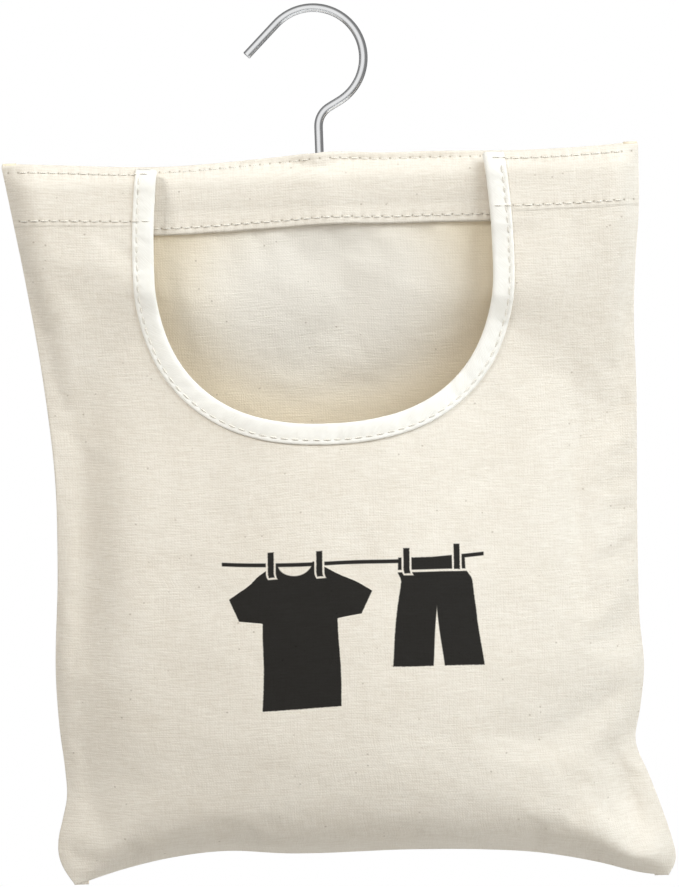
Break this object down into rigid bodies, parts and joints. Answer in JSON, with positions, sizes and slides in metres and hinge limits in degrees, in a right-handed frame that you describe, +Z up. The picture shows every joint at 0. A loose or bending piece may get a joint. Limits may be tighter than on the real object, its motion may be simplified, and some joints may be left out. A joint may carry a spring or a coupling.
{
  "type": "peg bag",
  "caption": "Canvas peg bag with a bound scoop mouth, sewn over a wooden hanger bar that hangs from a swivelling chrome wire hook.",
  "frame": {"origin": "the crown's seat: the lowest point of the hook's crown on its inside, where the hook sits on a rail or line", "axes": "+Z up, the mouth faces -Y, +X to the right as seen from the mouth's side"},
  "size_m": [0.2854, 0.06, 0.3883],
  "materials": {
    "canvas": "plain-woven natural cotton canvas",
    "binding_tape": "white cotton bias tape",
    "thread": "spun cotton sewing thread",
    "chrome_wire": "polished plating",
    "plated_steel": "zinc plating",
    "bar_wood": "planed, unfinished"
  },
  "bodies": {
    "hook": {"hook": "chrome_wire", "hook_washer": "plated_steel", "hook_push_nut": "plated_steel"},
    "bag": {"hanger_bar": "bar_wood", "back_panel": "canvas", "front_panel": "canvas", "opening_binding": "binding_tape", "casing_hem_stitch": "thread", "casing_top_stitch_left": "thread", "casing_top_stitch_right": "thread", "left_shoulder_top_stitch": "thread", "right_shoulder_top_stitch": "thread", "left_shoulder_hem_stitch": "thread", "right_shoulder_hem_stitch": "thread", "binding_stitch": "thread", "left_side_seam": "thread", "right_side_seam": "thread", "bottom_seam": "thread"}
  },
  "joints": [
    {"name": "hook_swivel", "type": "hinge", "parent": "hook", "child": "bag", "pos_m": [0.0013, 0, -0.0685], "axis": [0, 0, 1], "continuous": true}
  ]
}
